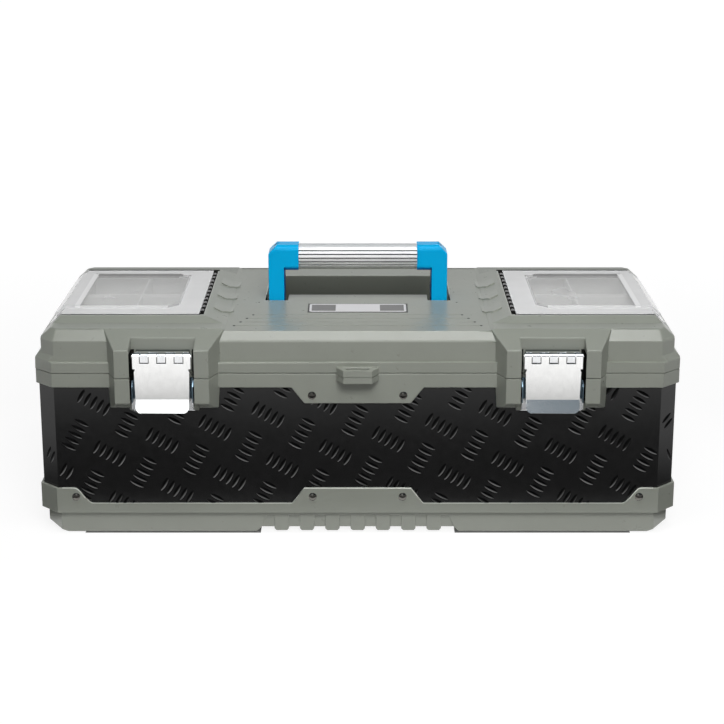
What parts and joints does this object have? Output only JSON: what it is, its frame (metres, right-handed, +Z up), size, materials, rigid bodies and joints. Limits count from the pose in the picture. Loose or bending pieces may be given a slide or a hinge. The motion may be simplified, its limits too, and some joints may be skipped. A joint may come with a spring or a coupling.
{
  "type": "hard tool case",
  "caption": "Long hard tool case with a moulded base and collar around a tread-pattern sheet body, hinged lid, folding handle, draw latches and clear-covered organisers.",
  "frame": {"origin": "centre of the footprint on the surface the case stands on", "axes": "+X along the case's length to the right as seen from the latches, +Y to the back hinge, +Z up"},
  "size_m": [0.66, 0.355, 0.2749],
  "materials": {
    "grey_plastic": "fine moulded grain",
    "black_sheet": "satin black coating",
    "zinc": "bright zinc plate",
    "dark_steel": "dull",
    "blue_plastic": "satin",
    "tube_aluminium": "extruded, fluted",
    "clear_plastic": "clear",
    "bin_plastic": "smooth",
    "tray_plastic": "fine moulded grain",
    "plate_metal": "printed"
  },
  "bodies": {
    "case": {"base_pan": "grey_plastic", "body_sheet": "black_sheet", "top_collar": "grey_plastic", "collar_rivets": "dark_steel", "base_rivets": "dark_steel", "lid_hinge_pins": "zinc", "left_latch_bracket": "zinc", "right_latch_bracket": "zinc", "latch_bracket_rivets": "zinc", "tote_tray": "tray_plastic", "tray_grip": "tray_plastic"},
    "lid": {"lid_shell": "grey_plastic", "label_plate": "plate_metal", "left_organiser_bin": "bin_plastic", "right_organiser_bin": "bin_plastic", "left_bin_divider": "bin_plastic", "right_bin_divider": "bin_plastic", "organiser_hinge_pins": "zinc", "handle_pivot_pins": "zinc", "left_latch_leaf": "zinc", "right_latch_leaf": "zinc", "latch_hinge_pins": "zinc", "latch_leaf_rivets": "zinc"},
    "handle": {"handle_tube": "tube_aluminium", "left_handle_end": "blue_plastic", "right_handle_end": "blue_plastic", "handle_screws": "dark_steel"},
    "left_cover": {"left_organiser_cover": "clear_plastic"},
    "right_cover": {"right_organiser_cover": "clear_plastic"},
    "left_latch": {"left_latch_lever": "zinc"},
    "right_latch": {"right_latch_lever": "zinc"}
  },
  "joints": [
    {"name": "lid_hinge", "type": "hinge", "parent": "case", "child": "lid", "pos_m": [0, 0.1705, 0.1743], "axis": [-1, 0, 0], "range_deg": [0, 100]},
    {"name": "handle_fold", "type": "hinge", "parent": "lid", "child": "handle", "pos_m": [0, 0.0045, 0.198], "axis": [-1, 0, 0], "range_deg": [0, 90]},
    {"name": "left_cover_hinge", "type": "hinge", "parent": "lid", "child": "left_cover", "pos_m": [-0.162, 0, 0.2209], "axis": [0, 1, 0], "range_deg": [0, 105]},
    {"name": "right_cover_hinge", "type": "hinge", "parent": "lid", "child": "right_cover", "pos_m": [0.162, 0, 0.2209], "axis": [0, -1, 0], "range_deg": [0, 105]},
    {"name": "left_latch_hinge", "type": "hinge", "parent": "lid", "child": "left_latch", "pos_m": [-0.1968, -0.1689, 0.196], "axis": [-1, 0, 0], "range_deg": [0, 115]},
    {"name": "right_latch_hinge", "type": "hinge", "parent": "lid", "child": "right_latch", "pos_m": [0.1968, -0.1689, 0.196], "axis": [-1, 0, 0], "range_deg": [0, 115]}
  ]
}
